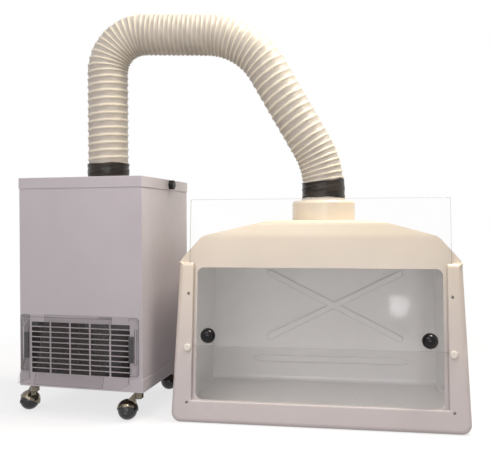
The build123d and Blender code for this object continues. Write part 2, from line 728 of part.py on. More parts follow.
corner_signs = {"front_left": (-1, -1), "front_right": (1, -1), "rear_left": (-1, 1), "rear_right": (1, 1)}
for corner, (sx, sy) in corner_signs.items():
    foot = Pos(sx * (pan_x - caster_inset[0]), sy * (pan_y - caster_inset[1]), 0)
    for part_name, shape in caster(caster_headings[corner]).items():
        cabinet[f"caster_{corner}_{part_name}"] = foot * shape
    cabinet["cabinet_pan"] = cabinet["cabinet_pan"] - foot * Pos(0, 0, cabinet_bottom) * Cylinder(stem_r, 20)

for name, shape in cabinet.items():
    pieces[name] = cabinet_place * shape

# Duct: one hose from the cabinet's collar up, over and down to the hood's ring, kept as six lengths end to end
cabinet_y = front_y + cabinet_depth_centre
across = turret_centre[0] - cabinet_x
backwards = turret_centre[1] - cabinet_y
span = math.hypot(across, backwards)
duct_place = Pos(cabinet_x, cabinet_y, 0) * Rot(0, 0, math.degrees(math.atan2(backwards, across)))
shoulder_run = duct_shoulder_x - cabinet_x
route = [
    (0, cabinet_top),
    (0, duct_top),
    (shoulder_run, duct_top - duct_top_drop),
    (span, turret_top - 56 + duct_entry_rise),
    (span, ring_high),
]
path = Plane.XZ * FilletPolyline(*route, radius=list(duct_bends))
lengths = [edge.length for edge in path.edges()]
print("duct length", round(sum(lengths), 1), "runs and arcs", [round(v, 1) for v in lengths])


def hose(radius, line):
    """A round bar swept along a line."""
    return sweep(Plane(line @ 0, z_dir=line % 0) * Circle(radius), path=line)


runs = path.edges()
lengths_of_hose = {
    "duct_riser": runs[0:1],
    "duct_first_bend": runs[1:2],
    "duct_top_run": runs[2:3],
    "duct_second_bend": runs[3:4],
    "duct_fall": runs[4:5],
    "duct_hood_bend": runs[5:7],
}
for name, edges in lengths_of_hose.items():
    line = Wire(edges)
    pieces[name] = duct_place * (hose(duct_radius, line) - hose(duct_inside, line))

tape_out = duct_radius + tape_thickness
pieces["duct_tape_cabinet"] = duct_place * tube(tape_out, duct_radius, cabinet_top, cabinet_top + tape_length)
last_bend, last_run = runs[5:7]
taped_share = 1 - (tape_length - last_run.length) / last_bend.length
tape_line = Wire([last_bend.trim(taped_share, 1.0), last_run])
pieces["duct_tape_hood"] = duct_place * (hose(tape_out, tape_line) - hose(duct_radius, tape_line))

for name, shape in pieces.items():
    solids = shape.solids()
    if len(solids) != 1:
        print("solids", name, len(solids), [round(s.volume, 1) for s in solids])
    export_step(shape, f"parts/{name}.step")
print("nodes", len(pieces))
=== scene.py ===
import bpy
import bmesh
import math
from mathutils import Matrix, Vector


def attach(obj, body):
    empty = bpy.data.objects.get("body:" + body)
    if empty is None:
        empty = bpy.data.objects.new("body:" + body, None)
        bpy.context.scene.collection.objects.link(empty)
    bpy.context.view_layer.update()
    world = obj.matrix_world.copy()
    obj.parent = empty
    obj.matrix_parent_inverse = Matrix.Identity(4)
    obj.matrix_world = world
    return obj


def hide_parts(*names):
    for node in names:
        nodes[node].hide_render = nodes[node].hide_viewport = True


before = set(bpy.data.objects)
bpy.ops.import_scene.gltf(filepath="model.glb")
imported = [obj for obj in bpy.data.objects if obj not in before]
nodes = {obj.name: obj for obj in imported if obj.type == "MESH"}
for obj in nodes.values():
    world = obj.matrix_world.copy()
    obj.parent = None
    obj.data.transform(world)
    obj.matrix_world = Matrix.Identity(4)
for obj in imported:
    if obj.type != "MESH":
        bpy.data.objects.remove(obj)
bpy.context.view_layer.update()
print("frame loaded", len(nodes), "nodes")

# camera: where the photograph was taken from

view = {
    "place": (0.0668, -1.7438, 0.5155),
    "turnLeft": 0.155452,
    "tiltUp": -0.010452,
    "roll": -0.004328,
    "lens": 46.118,
    "sensor": 36.0,
}


def makeCamera():
    forward = Vector((
        -math.sin(view["turnLeft"]) * math.cos(view["tiltUp"]),
        math.cos(view["turnLeft"]) * math.cos(view["tiltUp"]),
        math.sin(view["tiltUp"]),
    ))
    flatRight = forward.cross(Vector((0, 0, 1))).normalized()
    flatUp = flatRight.cross(forward)
    right = flatRight * math.cos(view["roll"]) + flatUp * math.sin(view["roll"])
    up = flatUp * math.cos(view["roll"]) - flatRight * math.sin(view["roll"])
    turn = Matrix((right, up, -forward)).transposed()
    data = bpy.data.cameras.new("photoCamera")
    data.sensor_fit = "HORIZONTAL"
    data.sensor_width = view["sensor"]
    data.lens = view["lens"]
    camera = bpy.data.objects.new("photoCamera", data)
    camera.matrix_world = Matrix.Translation(Vector(view["place"])) @ turn.to_4x4()
    bpy.context.scene.collection.objects.link(camera)
    bpy.context.scene.camera = camera


makeCamera()
print("camera placed")

# room: pale floor, white background, soft lamps

room = {
    "backdrop": (1.0, 1.0, 1.0),
    "ambient": (1.0, 0.965, 0.965),
    "ambientStrength": 0.36,
    "floorSize": 9.0,
    "floorMiddle": (-0.25, 0.0),
    "floorColour": (0.34, 0.33, 0.335),
    "floorGlow": 0.72,
    "floorShade": (0.30, 0.295, 0.30),
    # distances from its middle between which the shadow fades out
    "floorFade": (0.75, 1.5),
}
lamps = {
    "overheadRight": {
        "place": (0.60, -0.05, 2.1), "aim": (-0.15, 0, 0.45),
        "size": 0.8, "power": 40, "tint": (1.0, 0.93, 0.80),
    },
    "overheadLeft": {
        "place": (-1.3, -1.5, 2.0), "aim": (-0.4, 0, 0.4),
        "size": 1.4, "power": 7, "tint": (1.0, 0.97, 1.0),
    },
    "frontSoft": {
        "place": (-0.40, -2.6, 1.2), "aim": (-0.2, 0, 0.35),
        "size": 2.0, "power": 18.5, "tint": (1.0, 0.96, 1.0),
    },
    "aboveFront": {
        "place": (-0.28, -0.85, 1.40), "aim": (-0.1, -0.1, 0.40),
        "size": 0.45, "power": 3.4, "tint": (1.0, 0.94, 0.84),
    },
    "nearCamera": {
        "place": (0.43, -2.9, 0.49), "aim": (0.1, -0.2, 0.3),
        "size": 0.12, "power": 3.0, "tint": (0.97, 0.98, 1.0),
    },
}


def calc(tree, operation, *values):
    node = tree.nodes.new("ShaderNodeMath")
    node.operation = operation
    for socket, value in zip(node.inputs, values):
        if isinstance(value, (int, float)):
            socket.default_value = value
        else:
            tree.links.new(value, socket)
    return node.outputs[0]


def seenByEye(tree):
    # camera, glossy and transmission rays, which all see the plain white background
    path = tree.nodes.new("ShaderNodeLightPath")
    mirrored = calc(tree, "MAXIMUM", path.outputs["Is Camera Ray"], path.outputs["Is Glossy Ray"])
    return calc(tree, "MAXIMUM", mirrored, path.outputs["Is Transmission Ray"])


def makeRoom():
    bpy.context.scene.view_settings.view_transform = "Standard"
    world = bpy.data.worlds.new("studio")
    bpy.context.scene.world = world
    world.use_nodes = True
    tree = world.node_tree
    tree.nodes.clear()
    out = tree.nodes.new("ShaderNodeOutputWorld")
    seen = tree.nodes.new("ShaderNodeBackground")
    lit = tree.nodes.new("ShaderNodeBackground")
    seen.inputs["Color"].default_value = (*room["backdrop"], 1)
    seen.inputs["Strength"].default_value = 1.0
    lit.inputs["Color"].default_value = (*room["ambient"], 1)
    lit.inputs["Strength"].default_value = room["ambientStrength"]
    mix = tree.nodes.new("ShaderNodeMixShader")
    tree.links.new(seenByEye(tree), mix.inputs[0])
    tree.links.new(lit.outputs[0], mix.inputs[1])
    tree.links.new(seen.outputs[0], mix.inputs[2])
    tree.links.new(mix.outputs[0], out.inputs["Surface"])
    for name, lamp in lamps.items():
        data = bpy.data.lights.new(name, "AREA")
        data.size = lamp["size"]
        data.energy = lamp["power"]
        data.color = lamp["tint"]
        lampObject = bpy.data.objects.new(name, data)
        lampObject.location = lamp["place"]
        aim = Vector(lamp["aim"]) - Vector(lamp["place"])
        lampObject.rotation_euler = aim.to_track_quat("-Z", "Y").to_euler()
        bpy.context.scene.collection.objects.link(lampObject)


makeRoom()
print("room lit")

# materials

def newMaterial(name):
    material = bpy.data.materials.new(name)
    material.use_nodes = True
    tree = material.node_tree
    shader = tree.nodes["Principled BSDF"]
    return material, tree, shader


def objectPlace(tree, scale=(1, 1, 1)):
    place = tree.nodes.new("ShaderNodeTexCoord")
    mapping = tree.nodes.new("ShaderNodeMapping")
    mapping.inputs["Scale"].default_value = scale
    tree.links.new(place.outputs["Object"], mapping.inputs["Vector"])
    return mapping.outputs["Vector"]


def noise(tree, vector, scale, detail=3, rough=0.55):
    node = tree.nodes.new("ShaderNodeTexNoise")
    node.inputs["Scale"].default_value = scale
    node.inputs["Detail"].default_value = detail
    node.inputs["Roughness"].default_value = rough
    tree.links.new(vector, node.inputs["Vector"])
    return node.outputs["Fac"]


def remap(tree, value, fromLow, fromHigh, toLow, toHigh):
    node = tree.nodes.new("ShaderNodeMapRange")
    node.inputs["From Min"].default_value = fromLow
    node.inputs["From Max"].default_value = fromHigh
    node.inputs["To Min"].default_value = toLow
    node.inputs["To Max"].default_value = toHigh
    tree.links.new(value, node.inputs["Value"])
    return node.outputs["Result"]


def mixColours(tree, factor, first, second):
    node = tree.nodes.new("ShaderNodeMix")
    node.data_type = "RGBA"
    node.inputs[6].default_value = (*first, 1) if isinstance(first, tuple) else (1, 1, 1, 1)
    node.inputs[7].default_value = (*second, 1) if isinstance(second, tuple) else (1, 1, 1, 1)
    tree.links.new(factor, node.inputs[0])
    if not isinstance(first, tuple):
        tree.links.new(first, node.inputs[6])
    if not isinstance(second, tuple):
        tree.links.new(second, node.inputs[7])
    return node.outputs[2]


def addBump(tree, shader, height, strength, distance):
    bump = tree.nodes.new("ShaderNodeBump")
    bump.inputs["Strength"].default_value = strength
    bump.inputs["Distance"].default_value = distance
    tree.links.new(height, bump.inputs["Height"])
    tree.links.new(bump.outputs["Normal"], shader.inputs["Normal"])


# noise values between which colours mix and roughness moves
shadeSpan = (0.35, 0.65)
roughSpan = (0.3, 0.7)

finishes = {
    # shades: two colours that a soft mottling moves between
    # grain: cells per metre and depth of the surface bump
    "ballKnob": {
        "shades": ((0.005, 0.004, 0.005), (0.008, 0.006, 0.007)), "mottle": 60,
        "rough": (0.05, 0.10), "grain": (300, 0.00002), "shine": 0.22,
    },
    "blackPlastic": {
        "shades": ((0.010, 0.010, 0.011), (0.018, 0.018, 0.019)), "mottle": 90,
        "rough": (0.35, 0.5), "grain": (1400, 0.0002), "shine": 0.25,
    },
    # painted shade: blower scroll and deck in near black, standing for the shade inside the housing
    "blowerShadeBlack": {
        "shades": ((0.020, 0.020, 0.022), (0.030, 0.030, 0.032)), "mottle": 40,
        "rough": (0.5, 0.65), "grain": (900, 0.0003),
    },
    "pegNylon": {
        "shades": ((0.80, 0.76, 0.69), (0.76, 0.71, 0.64)), "mottle": 80,
        "rough": (0.3, 0.4), "grain": (700, 0.0001),
    },
    "ringPlastic": {
        "shades": ((0.70, 0.66, 0.60), (0.66, 0.62, 0.56)), "mottle": 60,
        "rough": (0.35, 0.45), "grain": (600, 0.0001),
    },
    "gasketFoam": {
        "shades": ((0.02, 0.02, 0.02), (0.035, 0.035, 0.035)), "mottle": 200,
        "rough": (0.85, 0.95), "grain": (1200, 0.0006),
    },
    "filterBed": {
        "shades": ((0.78, 0.77, 0.72), (0.68, 0.67, 0.62)), "mottle": 40,
        "rough": (0.8, 0.95), "grain": (500, 0.001),
    },
    "impellerPlastic": {
        "shades": ((0.03, 0.03, 0.033), (0.045, 0.045, 0.05)), "mottle": 70,
        "rough": (0.4, 0.5), "grain": (900, 0.0002),
    },
    "motorPaint": {
        "shades": ((0.06, 0.065, 0.07), (0.08, 0.085, 0.09)), "mottle": 50,
        "rough": (0.4, 0.5), "grain": (900, 0.0003),
    },
    "magnetStrip": {
        "shades": ((0.05, 0.05, 0.052), (0.075, 0.075, 0.078)), "mottle": 90,
        "rough": (0.6, 0.7), "grain": (1500, 0.0002),
    },
    "casterRubber": {
        "shades": ((0.010, 0.010, 0.013), (0.018, 0.017, 0.020)), "mottle": 60,
        "rough": (0.16, 0.26), "grain": (900, 0.00005),
    },
    "zincSteel": {
        "shades": ((0.50, 0.50, 0.49), (0.42, 0.42, 0.41)), "mottle": 90,
        "rough": (0.25, 0.4), "grain": (1200, 0.00008), "metal": 1.0,
    },
    "stemSteel": {
        "shades": ((0.11, 0.105, 0.10), (0.07, 0.066, 0.062)), "mottle": 60,
        "rough": (0.3, 0.45), "grain": (900, 0.0001), "metal": 1.0,
    },
    "galvanisedSheet": {
        "shades": ((0.52, 0.54, 0.55), (0.40, 0.42, 0.43)), "mottle": 45,
        "rough": (0.3, 0.5), "grain": (800, 0.0001), "metal": 1.0,
    },
    # painted reflection: the chrome darkened and tinted warm, as if mirroring dark, warm surroundings
    "casterChrome": {
        "shades": ((0.22, 0.19, 0.145), (0.12, 0.105, 0.085)), "mottle": 45,
        "rough": (0.07, 0.16), "grain": (500, 0.00003), "metal": 1.0,
    },
}
madeFinishes = {}


def makeFinish(name):
    values = finishes[name]
    material, tree, shader = newMaterial(name)
    vector = objectPlace(tree)
    mottle = noise(tree, vector, values["mottle"], 4)
    fine = noise(tree, vector, values["grain"][0], 2)
    colour = mixColours(tree, remap(tree, mottle, *shadeSpan, 0, 1), *values["shades"])
    tree.links.new(colour, shader.inputs["Base Color"])
    tree.links.new(remap(tree, mottle, *roughSpan, *values["rough"]), shader.inputs["Roughness"])
    shader.inputs["Metallic"].default_value = values.get("metal", 0.0)
    shader.inputs["Specular IOR Level"].default_value = values.get("shine", 0.5)
    addBump(tree, shader, fine, 0.5, values["grain"][1])
    madeFinishes[name] = material


for finishName in finishes:
    makeFinish(finishName)

cabinet = {
    "middle": (-0.590, -0.0445),
    "turn": math.radians(5.0),
    "half": (0.1722, 0.1702),
    "low": 0.0787,
    "high": 0.6237,
    "shades": ((0.545, 0.505, 0.535), (0.517, 0.478, 0.507)),
    # painted shade: near black on the faces inside the housing
    "insideShade": (0.014, 0.013, 0.014),
    "mottle": 5,
    "rough": (0.34, 0.42),
    "stipple": (1100, 0.5, 0.00025),
}


def makeCabinetPaint():
    # powder coat outside, and painted shade in near black on whatever faces the inside of the housing
    material, tree, shader = newMaterial("cabinetPaint")
    place = tree.nodes.new("ShaderNodeTexCoord")
    mapping = tree.nodes.new("ShaderNodeMapping")
    mapping.vector_type = "TEXTURE"
    mapping.inputs["Location"].default_value = (*cabinet["middle"], 0)
    mapping.inputs["Rotation"].default_value = (0, 0, -cabinet["turn"])
    tree.links.new(place.outputs["Object"], mapping.inputs["Vector"])
    apart = tree.nodes.new("ShaderNodeSeparateXYZ")
    tree.links.new(mapping.outputs["Vector"], apart.inputs[0])
    insideX = calc(tree, "LESS_THAN", calc(tree, "ABSOLUTE", apart.outputs["X"]), cabinet["half"][0])
    insideY = calc(tree, "LESS_THAN", calc(tree, "ABSOLUTE", apart.outputs["Y"]), cabinet["half"][1])
    underLid = calc(tree, "LESS_THAN", apart.outputs["Z"], cabinet["high"])
    overPan = calc(tree, "GREATER_THAN", apart.outputs["Z"], cabinet["low"])
    insidePlan = calc(tree, "MULTIPLY", insideX, insideY)
    insideHeight = calc(tree, "MULTIPLY", underLid, overPan)
    inside = calc(tree, "MULTIPLY", insidePlan, insideHeight)
    vector = place.outputs["Object"]
    mottle = noise(tree, vector, cabinet["mottle"], 4)
    stipple = noise(tree, vector, cabinet["stipple"][0], 2)
    paint = mixColours(tree, remap(tree, mottle, *shadeSpan, 0, 1), *cabinet["shades"])
    # painted shade inside the housing
    tree.links.new(mixColours(tree, inside, paint, cabinet["insideShade"]), shader.inputs["Base Color"])
    tree.links.new(remap(tree, mottle, *roughSpan, *cabinet["rough"]), shader.inputs["Roughness"])
    addBump(tree, shader, stipple, *cabinet["stipple"][1:])
    madeFinishes["cabinetPaint"] = material


makeCabinetPaint()

hoodPlastic = {
    # outside, low down and at the roof, with painted warm light that makes the roof lighter and yellower,
    # and the heights over which that painted light rises
    "sides": ((0.635, 0.577, 0.572), (0.61, 0.553, 0.548)),
    "top": ((0.775, 0.675, 0.53), (0.75, 0.65, 0.505)),
    "paintedLightHeights": (0.10, 0.50),
    # painted light: the walls inside the hood lighter and more neutral than the outside
    "inside": ((0.895, 0.885, 0.87), (0.875, 0.865, 0.85)),
    "mottle": 5,
    "rough": (0.26, 0.36),
    "coat": (0.2, 0.25),
    "grain": (520, 0.4, 0.0001),
    # point and planes that part the inside of the hood from its outside, slopes in metres per metre
    "middle": (0.0, 0.0, 0.25),
    "front": -0.1925,
    "back": 0.207,
    "lean": math.tan(math.radians(5.9)),
    "shoulder": 0.40,
    "sideReach": 0.3568,
    "sideSlope": -0.0343,
    "depthSlope": -0.0429,
}


def makeHoodPlastic():
    # moulded plastic, with painted warm light that makes it lighter and yellower towards the roof, and
    # painted light that makes the walls behind the sash lighter and more neutral
    material, tree, shader = newMaterial("hoodPlastic")
    place = tree.nodes.new("ShaderNodeTexCoord")
    vector = place.outputs["Object"]
    apart = tree.nodes.new("ShaderNodeSeparateXYZ")
    tree.links.new(vector, apart.inputs[0])
    x, y, z = apart.outputs
    upright = calc(tree, "MULTIPLY_ADD", z, -hoodPlastic["lean"], y)
    behind = calc(tree, "GREATER_THAN", upright, hoodPlastic["front"])
    reach = calc(tree, "MULTIPLY_ADD", z, hoodPlastic["sideSlope"], hoodPlastic["sideReach"])
    reach = calc(tree, "MULTIPLY_ADD", y, hoodPlastic["depthSlope"], reach)
    within = calc(tree, "LESS_THAN", calc(tree, "ABSOLUTE", x), reach)
    before = calc(tree, "LESS_THAN", y, hoodPlastic["back"])
    low = calc(tree, "LESS_THAN", z, hoodPlastic["shoulder"])
    lowWalls = calc(tree, "MULTIPLY", low, calc(tree, "MULTIPLY", within, before))
    # over the shoulder, the faces that look back at the middle of the hood are its inside
    fromMiddle = tree.nodes.new("ShaderNodeVectorMath")
    fromMiddle.operation = "SUBTRACT"
    fromMiddle.inputs[1].default_value = hoodPlastic["middle"]
    tree.links.new(vector, fromMiddle.inputs[0])
    facing = tree.nodes.new("ShaderNodeVectorMath")
    facing.operation = "DOT_PRODUCT"
    tree.links.new(fromMiddle.outputs["Vector"], facing.inputs[0])
    tree.links.new(place.outputs["Normal"], facing.inputs[1])
    inward = calc(tree, "LESS_THAN", facing.outputs["Value"], 0.0)
    roofWalls = calc(tree, "MULTIPLY", calc(tree, "SUBTRACT", 1.0, low), inward)
    # painted light on the walls inside the hood
    paintedLitInside = calc(tree, "MULTIPLY", behind, calc(tree, "ADD", lowWalls, roofWalls))
    mottle = noise(tree, vector, hoodPlastic["mottle"], 4)
    fine = noise(tree, vector, hoodPlastic["grain"][0], 2)
    shade = remap(tree, mottle, *shadeSpan, 0, 1)
    # painted warm light: lighter and yellower towards the roof
    paintedLightShare = remap(tree, z, *hoodPlastic["paintedLightHeights"], 0, 1)
    sides = mixColours(tree, shade, *hoodPlastic["sides"])
    outside = mixColours(tree, paintedLightShare, sides, mixColours(tree, shade, *hoodPlastic["top"]))
    inside = mixColours(tree, shade, *hoodPlastic["inside"])
    tree.links.new(mixColours(tree, paintedLitInside, outside, inside), shader.inputs["Base Color"])
    tree.links.new(remap(tree, mottle, *roughSpan, *hoodPlastic["rough"]), shader.inputs["Roughness"])
    shader.inputs["Coat Weight"].default_value = hoodPlastic["coat"][0]
    shader.inputs["Coat Roughness"].default_value = hoodPlastic["coat"][1]
    addBump(tree, shader, fine, *hoodPlastic["grain"][1:])
    madeFinishes["hoodPlastic"] = material


makeHoodPlastic()


acrylicIndex = 1.49


def makeClear(name, tint, alpha, rough):
    # cast acrylic with faint smears, and waves long enough to bend its reflections a little
    material, tree, shader = newMaterial(name)
    vector = objectPlace(tree)
    smear = noise(tree, vector, 9, 4)
    shader.inputs["Base Color"].default_value = (*tint, 1)
    shader.inputs["IOR"].default_value = acrylicIndex
    tree.links.new(remap(tree, smear, 0.35, 0.7, *alpha), shader.inputs["Alpha"])
    tree.links.new(remap(tree, smear, *roughSpan, *rough), shader.inputs["Roughness"])
    waves = noise(tree, vector, 3, 2)
    addBump(tree, shader, waves, 0.2, 0.0006)
    madeFinishes[name] = material


makeClear("clearSheet", (0.90, 0.92, 0.92), (0.035, 0.06), (0.03, 0.08))
# painted shade: dark, half-opaque lines where the sheets' edges and folds bend the light
makeClear("clearEdge", (0.24, 0.26, 0.255), (0.60, 0.70), (0.15, 0.25))
# painted shade: the dark tint darkens the grille and the strip below it, seen through the deflector
makeClear("deflectorSheet", (0.17, 0.155, 0.15), (0.05, 0.08), (0.04, 0.10))
makeClear("deflectorEdge", (0.20, 0.195, 0.19), (0.52, 0.7), (0.10, 0.18))


hoseCloth = {
    "shades": ((0.475, 0.43, 0.37), (0.415, 0.375, 0.33)),
    # beads partly their own lighter colour and partly a painted highlight on the raised wire
    "bead": (0.83, 0.76, 0.60),
    "mottle": 26,
    "rough": (0.42, 0.6),
    "weave": (900, 0.35, 0.0004),
    "sheen": 0.12,
}


def makeHose():
    # lighter wire beads, partly their own colour and partly a painted highlight on the raised wire, with
    # greyer coated cloth between them, told apart by the mesh's "rib" attribute
    material, tree, shader = newMaterial("ductHose")
    rib = tree.nodes.new("ShaderNodeAttribute")
    rib.attribute_name = "rib"
    vector = objectPlace(tree)
    mottle = noise(tree, vector, hoseCloth["mottle"], 4)
    weave = noise(tree, vector, hoseCloth["weave"][0], 2)
    cloth = mixColours(tree, remap(tree, mottle, *roughSpan, 0, 1), *hoseCloth["shades"])
    colour = mixColours(tree, rib.outputs["Fac"], cloth, hoseCloth["bead"])
    tree.links.new(colour, shader.inputs["Base Color"])
    tree.links.new(remap(tree, mottle, *roughSpan, *hoseCloth["rough"]), shader.inputs["Roughness"])
    shader.inputs["Sheen Weight"].default_value = hoseCloth["sheen"]
    addBump(tree, shader, weave, *hoseCloth["weave"][1:])
    madeFinishes["ductHose"] = material


tapeVinyl = {
    "shades": ((0.011, 0.008, 0.006), (0.034, 0.025, 0.017)),
    "flatten": (1, 1, 3.5),
    "scuff": 12,
    "scuffSpan": (0.4, 0.75),
    "rough": (0.22, 0.42),
    "shine": 0.3,
    "crinkle": (24, 0.7, 0.0016),
}


def makeTape():
    # black vinyl with scuffs and creases that run round the band
    material, tree, shader = newMaterial("blackTape")
    vector = objectPlace(tree, tapeVinyl["flatten"])
    crinkle = noise(tree, vector, tapeVinyl["crinkle"][0], 3, 0.5)
    scuff = noise(tree, vector, tapeVinyl["scuff"], 3)
    scuffed = remap(tree, scuff, *tapeVinyl["scuffSpan"], 0, 1)
    tree.links.new(mixColours(tree, scuffed, *tapeVinyl["shades"]), shader.inputs["Base Color"])
    tree.links.new(remap(tree, scuff, *roughSpan, *tapeVinyl["rough"]), shader.inputs["Roughness"])
    shader.inputs["Specular IOR Level"].default_value = tapeVinyl["shine"]
    addBump(tree, shader, crinkle, *tapeVinyl["crinkle"][1:])
    madeFinishes["blackTape"] = material


makeHose()
makeTape()
print("materials made", len(madeFinishes))

# finish of each node by the longest key that its name starts with; casters by the end of their name
wear = {
    "hood_shell": "hoodPlastic", "sash_screw": "zincSteel", "sash_knob": "ballKnob",
    "sash_peg": "pegNylon", "outlet_ring": "ringPlastic", "start_collar": "galvanisedSheet",
    "cabinet_": "cabinetPaint", "front_panel": "cabinetPaint", "lid_gasket": "gasketFoam",
    "filter_ledge": "galvanisedSheet", "filter_case": "galvanisedSheet",
    "filter_media": "filterBed", "prefilter": "filterBed", "blower_deck": "blowerShadeBlack",
    "blower_scroll": "blowerShadeBlack", "impeller": "impellerPlastic", "blower_motor": "motorPaint",
    "motor_shaft": "zincSteel", "power_inlet": "blackPlastic", "switch_": "blackPlastic",
    "deflector_": "deflectorSheet", "magnet_": "magnetStrip", "thumb_knob": "blackPlastic",
    "weld_nut": "zincSteel", "duct_tape": "blackTape", "duct": "ductHose", "sash": "clearSheet",
}
casterWear = {"stem": "stemSteel", "hood": "casterChrome", "axle": "stemSteel", "ball": "casterRubber"}


def dressNodes():
    for name in nodes:
        finish = casterWear.get(name.rsplit("_", 1)[-1]) if name.startswith("caster_") else None
        if finish is None:
            match = max((key for key in wear if name.startswith(key)), key=len)
            finish = wear[match]
        if not nodes[name].material_slots:
            nodes[name].data.materials.append(madeFinishes[finish])
        for slotHere in nodes[name].material_slots:
            slotHere.material = madeFinishes[finish]


dressNodes()
print("nodes dressed")


def linkPiece(name, mesh, materials, smooth=True):
    piece = bpy.data.objects.new(name, mesh)
    bpy.context.scene.collection.objects.link(piece)
    for finish in materials:
        mesh.materials.append(madeFinishes[finish])
    if smooth:
        for face in mesh.polygons:
            face.use_smooth = True
    return piece


def thicken(piece, thickness):
    # a wall that grows inwards from the modelled surface
    wall = piece.modifiers.new("wall", "SOLIDIFY")
    wall.thickness = thickness
    wall.offset = -1


# duct: a coated hose over a wire helix, pushed together at its bends

duct = {
    "nodes": [
        "duct_riser", "duct_first_bend", "duct_top_run",
        "duct_second_bend", "duct_fall", "duct_hood_bend",
    ],
    "start": (-0.590, -0.0445),
    "end": (0.013, -0.010),
    "route": [(0.0, 0.6245), (0.0, 1.037), (0.397, 1.022), (1.0, 0.6585), (1.0, 0.5695)],
    "bends": (0.105, 0.200, 0.240),
    "crest": 0.0567,
    "bound": 0.0556,
    "valley": 0.0538,
    "sides": 60,
    "ringsPerRib": 8,
    # rib spacing in metres at distances along the hose
    "pitch": [
        (0.0, 0.0205), (0.26, 0.0205), (0.33, 0.0145), (0.47, 0.0130), (0.66, 0.0130),
        (0.76, 0.0165), (0.86, 0.0210), (1.06, 0.0210), (1.11, 0.0150), (1.26, 0.0135),
    ],
    "wall": 0.0012,
    # half the stretch that gives the direction at a place
    "lookAhead": 0.004,
    # length at each end that the tape binds, and the length over which the ribs spring free of it
    "cuff": (0.047, 0.006),
    # share by which the ribs' height wanders and its radians per metre, and the ends over which it settles
    "wobble": (0.004, 41),
    "settle": 0.03,
    # height of the cloth's puckers, their count round the hose and radians per metre
    "pucker": (0.0006, 7, 160),
    # where the beads' painted highlight fades along the top of the hose, and how much of it still shows
    # there
    "smooth": (0.42, 0.72),
    "highlightShows": 0.45,
}


def ductCentreline(step=0.004):
    # runs and arcs in the upright plane through both outlets, as a list of places
    start = Vector((*duct["start"], 0))
    across = Vector((*duct["end"], 0)) - start
    span = across.length
    across.normalize()
    corners = [Vector((x * span if x == 1.0 else x, 0, z)) for x, z in duct["route"]]
    flat = [corners[0]]
    for i, radius in enumerate(duct["bends"]):
        before, corner, after = corners[i], corners[i + 1], corners[i + 2]
        inward = (before - corner).normalized()
        outward = (after - corner).normalized()
        half = inward.angle(outward) / 2
        back = radius / math.tan(half)
        centre = corner + (inward + outward).normalized() * (radius / math.sin(half))
        first = corner + inward * back - centre
        last = corner + outward * back - centre
        swing = first.angle(last)
        count = max(6, int(radius * swing / step))
        for k in range(count + 1):
            spoke = first.slerp(last, k / count)
            flat.append(centre + spoke * radius / spoke.length)
    flat.append(corners[-1])
    return [start + across * p.x + Vector((0, 0, p.z)) for p in flat]


def alongPath(places):
    # evenly readable path: cumulative distances and a reader of place and direction
    distances = [0.0]
    for a, b in zip(places, places[1:]):
        distances.append(distances[-1] + (b - a).length)

    def read(distance):
        distance = min(max(distance, 0.0), distances[-1])
        low, high = 0, len(distances) - 1
        while high - low > 1:
            middle = (low + high) // 2
            if distances[middle] <= distance:
                low = middle
            else:
                high = middle
        share = (distance - distances[low]) / max(distances[high] - distances[low], 1e-9)
        return places[low].lerp(places[high], share)

    return distances[-1], read


def ductFrame(read, distance):
    # place on the hose, with the level and the upward direction square to it there
    sideways = Vector((*(b - a for a, b in zip(duct["start"], duct["end"])), 0)).normalized()
    across = sideways.cross(Vector((0, 0, 1))).normalized()
    ahead = (read(distance + duct["lookAhead"]) - read(distance - duct["lookAhead"])).normalized()
    return read(distance), across, across.cross(ahead).normalized()


def pitchAt(distance):
    table = duct["pitch"]
    for (a, pa), (b, pb) in zip(table, table[1:]):
        if distance <= b:
            return pa + (pb - pa) * max(0.0, distance - a) / (b - a)
    return table[-1][1]


def beadShows(distance):
    # the beads' painted highlight fades in and out along the top of the hose
    low, high = duct["smooth"]
    share = (distance - low) / (high - low)
    if not 0 < share < 1:
        return 1.0
    return 1 - (1 - duct["highlightShows"]) * math.sin(math.pi * share) ** 0.5


rib = {"width": 0.34, "roundness": 0.8, "height": 0.80, "base": 0.20, "sag": 0.084}


def ribHeight(phase):
    # one narrow bead a turn, with the cloth sagging a little between the beads
    away = abs((phase + 0.5) % 1.0 - 0.5) * 2
    bead = max(0.0, 1 - (away / rib["width"]) ** 2) ** rib["roundness"]
    sag = rib["sag"] * math.cos(math.pi * away)
    return bead, min(1.0, max(0.0, bead * rib["height"] + rib["base"] + sag))


